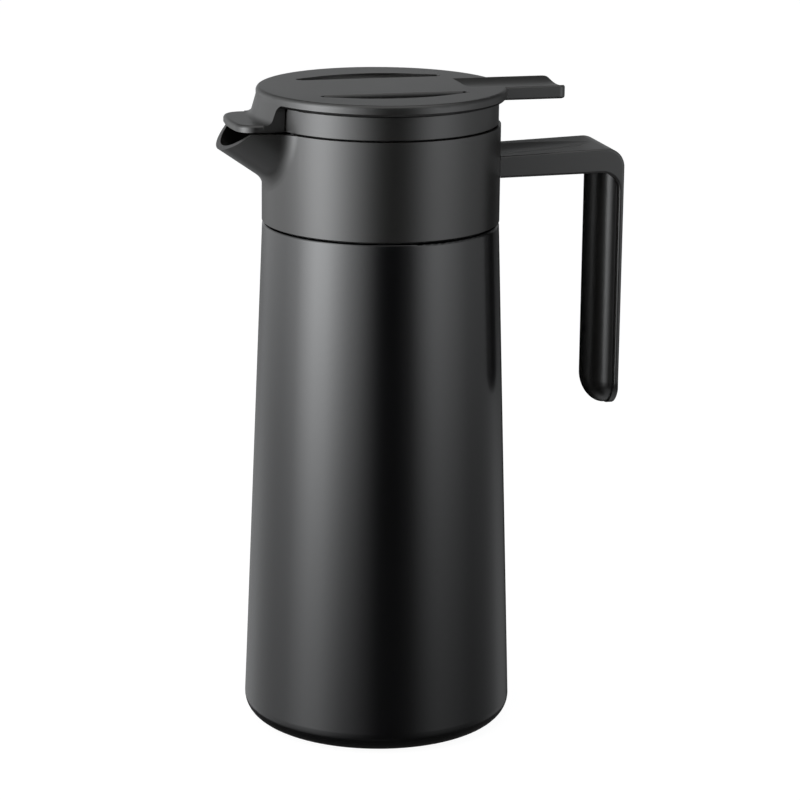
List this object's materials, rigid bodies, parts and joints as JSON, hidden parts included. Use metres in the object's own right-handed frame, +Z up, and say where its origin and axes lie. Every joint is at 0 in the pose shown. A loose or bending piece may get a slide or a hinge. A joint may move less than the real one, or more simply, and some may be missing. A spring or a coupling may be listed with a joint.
{
  "type": "thermal pot",
  "caption": "Tapered vacuum pot with a painted steel body, a plastic spout collar with side handle, and a screw-in stopper whose lever lid opens the spout.",
  "frame": {"origin": "middle of the foot, on the plane that the pot stands on", "axes": "+Z up along the body's axis, +X towards the handle, spout on -X"},
  "size_m": [0.158, 0.1058, 0.2534],
  "materials": {
    "body_paint": "glossy black paint",
    "stainless": "brushed stainless steel",
    "satin_plastic": "satin moulded, dark grey",
    "inner_plastic": "satin moulded, black",
    "silicone": "matte silicone, grey",
    "foam": "expanded foam, white",
    "getter": "pressed metal powder"
  },
  "bodies": {
    "jug": {"outer_shell": "body_paint", "inner_vessel": "stainless", "base_plate": "stainless", "vacuum_seal_plug": "stainless", "getter_pellet": "getter", "foot_pad": "silicone", "spout_collar": "satin_plastic", "collar_gasket": "silicone", "neck_ring": "inner_plastic", "handle_frame": "satin_plastic", "handle_grip": "satin_plastic", "handle_screws": "stainless"},
    "seal": {"stopper_seal": "silicone"},
    "stopper": {"stopper_body": "inner_plastic", "stopper_ring": "satin_plastic", "plug_sleeve": "inner_plastic", "duct_tube": "inner_plastic", "stopper_base": "inner_plastic", "insulation_core": "foam", "hinge_pin": "stainless", "return_spring": "stainless"},
    "lid": {"lid_cover": "satin_plastic", "lid_liner": "inner_plastic", "liner_screws": "stainless", "valve_plug": "inner_plastic", "valve_gasket": "silicone"}
  },
  "joints": [
    {"name": "stopper_lift", "type": "slide", "parent": "jug", "child": "seal", "axis": [0, 0, 1], "range_m": [0, 0.006]},
    {"name": "stopper_turn", "type": "hinge", "parent": "seal", "child": "stopper", "pos_m": [0, 0, 0.22], "axis": [0, 0, 1], "range_deg": [0, 90]},
    {"name": "lid_lever", "type": "hinge", "parent": "stopper", "child": "lid", "pos_m": [0.04, 0, 0.246], "axis": [0, 1, 0], "range_deg": [0, 20], "stiffness_Nm_per_rad": 0.05, "springref_deg": -20.05, "deforming": ["return_spring"]}
  ],
  "couplings": [
    {"joint": "stopper_lift", "follows": "stopper_turn", "m_per_rad": 0.0038195}
  ]
}
